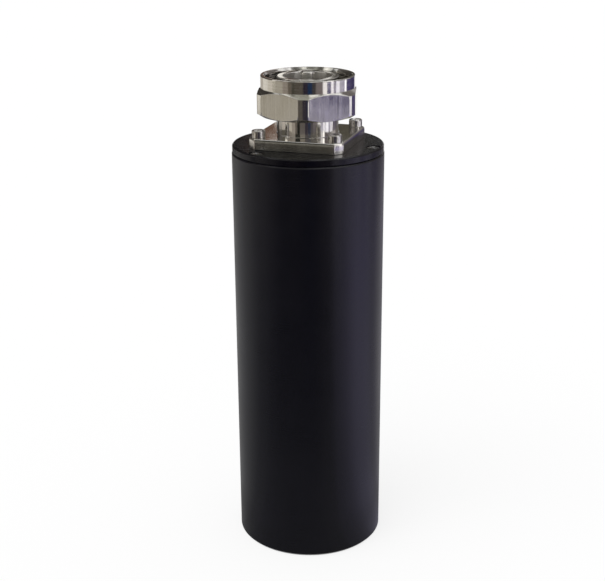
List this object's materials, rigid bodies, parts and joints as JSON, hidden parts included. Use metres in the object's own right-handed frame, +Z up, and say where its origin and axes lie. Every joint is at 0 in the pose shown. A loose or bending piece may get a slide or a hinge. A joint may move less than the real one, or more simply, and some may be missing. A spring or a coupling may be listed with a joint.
{
  "type": "coaxial dummy load",
  "caption": "Plain cylindrical coaxial termination standing on its base, with a square-flanged threaded plug and a free-turning hexagonal coupling nut on top.",
  "frame": {"origin": "centre of the housing's flat base", "axes": "+Z up along the cylinder's axis, out of the plug; -Y towards the camera of the picture"},
  "size_m": [0.051, 0.051, 0.1669],
  "materials": {
    "anodised_housing": "black satin anodising",
    "anodised_cap": "black satin anodising on a turned face",
    "seal_rubber": "black rubber",
    "dark_steel": "darkened steel",
    "bright_steel": "bright stainless steel",
    "plated_body": "bright nickel-like plating, turned",
    "plated_nut": "bright nickel-like plating, turned and milled",
    "spring_bronze": "plain spring bronze",
    "gasket_silicone": "dark grey silicone",
    "white_bead": "white fluoropolymer",
    "plated_pin": "silver plating",
    "ferrule_metal": "tinned metal",
    "film_ceramic": "brown resistive film on ceramic",
    "bare_aluminium": "bare turned aluminium",
    "bare_brass": "bare brass"
  },
  "bodies": {
    "load": {"housing": "anodised_housing", "housing_o_ring": "seal_rubber", "end_cap": "anodised_cap", "cap_screw_1": "dark_steel", "cap_screw_2": "dark_steel", "cap_screw_3": "dark_steel", "connector_body": "plated_body", "connector_o_ring": "seal_rubber", "flange_screw_1": "bright_steel", "flange_screw_2": "bright_steel", "flange_screw_3": "bright_steel", "flange_screw_4": "bright_steel", "retaining_ring": "spring_bronze", "front_gasket": "gasket_silicone", "dielectric_bead": "white_bead", "centre_pin": "plated_pin", "inner_conductor": "plated_pin", "front_ferrule": "ferrule_metal", "resistor_rod": "film_ceramic", "rear_ferrule": "ferrule_metal", "horn_block": "bare_aluminium", "horn_screw_1": "bright_steel", "horn_screw_2": "bright_steel", "horn_screw_3": "bright_steel", "short_plate": "bare_brass", "short_plate_screw_1": "bright_steel", "short_plate_screw_2": "bright_steel", "short_plate_screw_3": "bright_steel"},
    "nut": {"coupling_nut": "plated_nut"}
  },
  "joints": [
    {"name": "nut_turn", "type": "hinge", "parent": "load", "child": "nut", "pos_m": [0, 0, 0.1594], "axis": [0, 0, 1], "continuous": true}
  ]
}
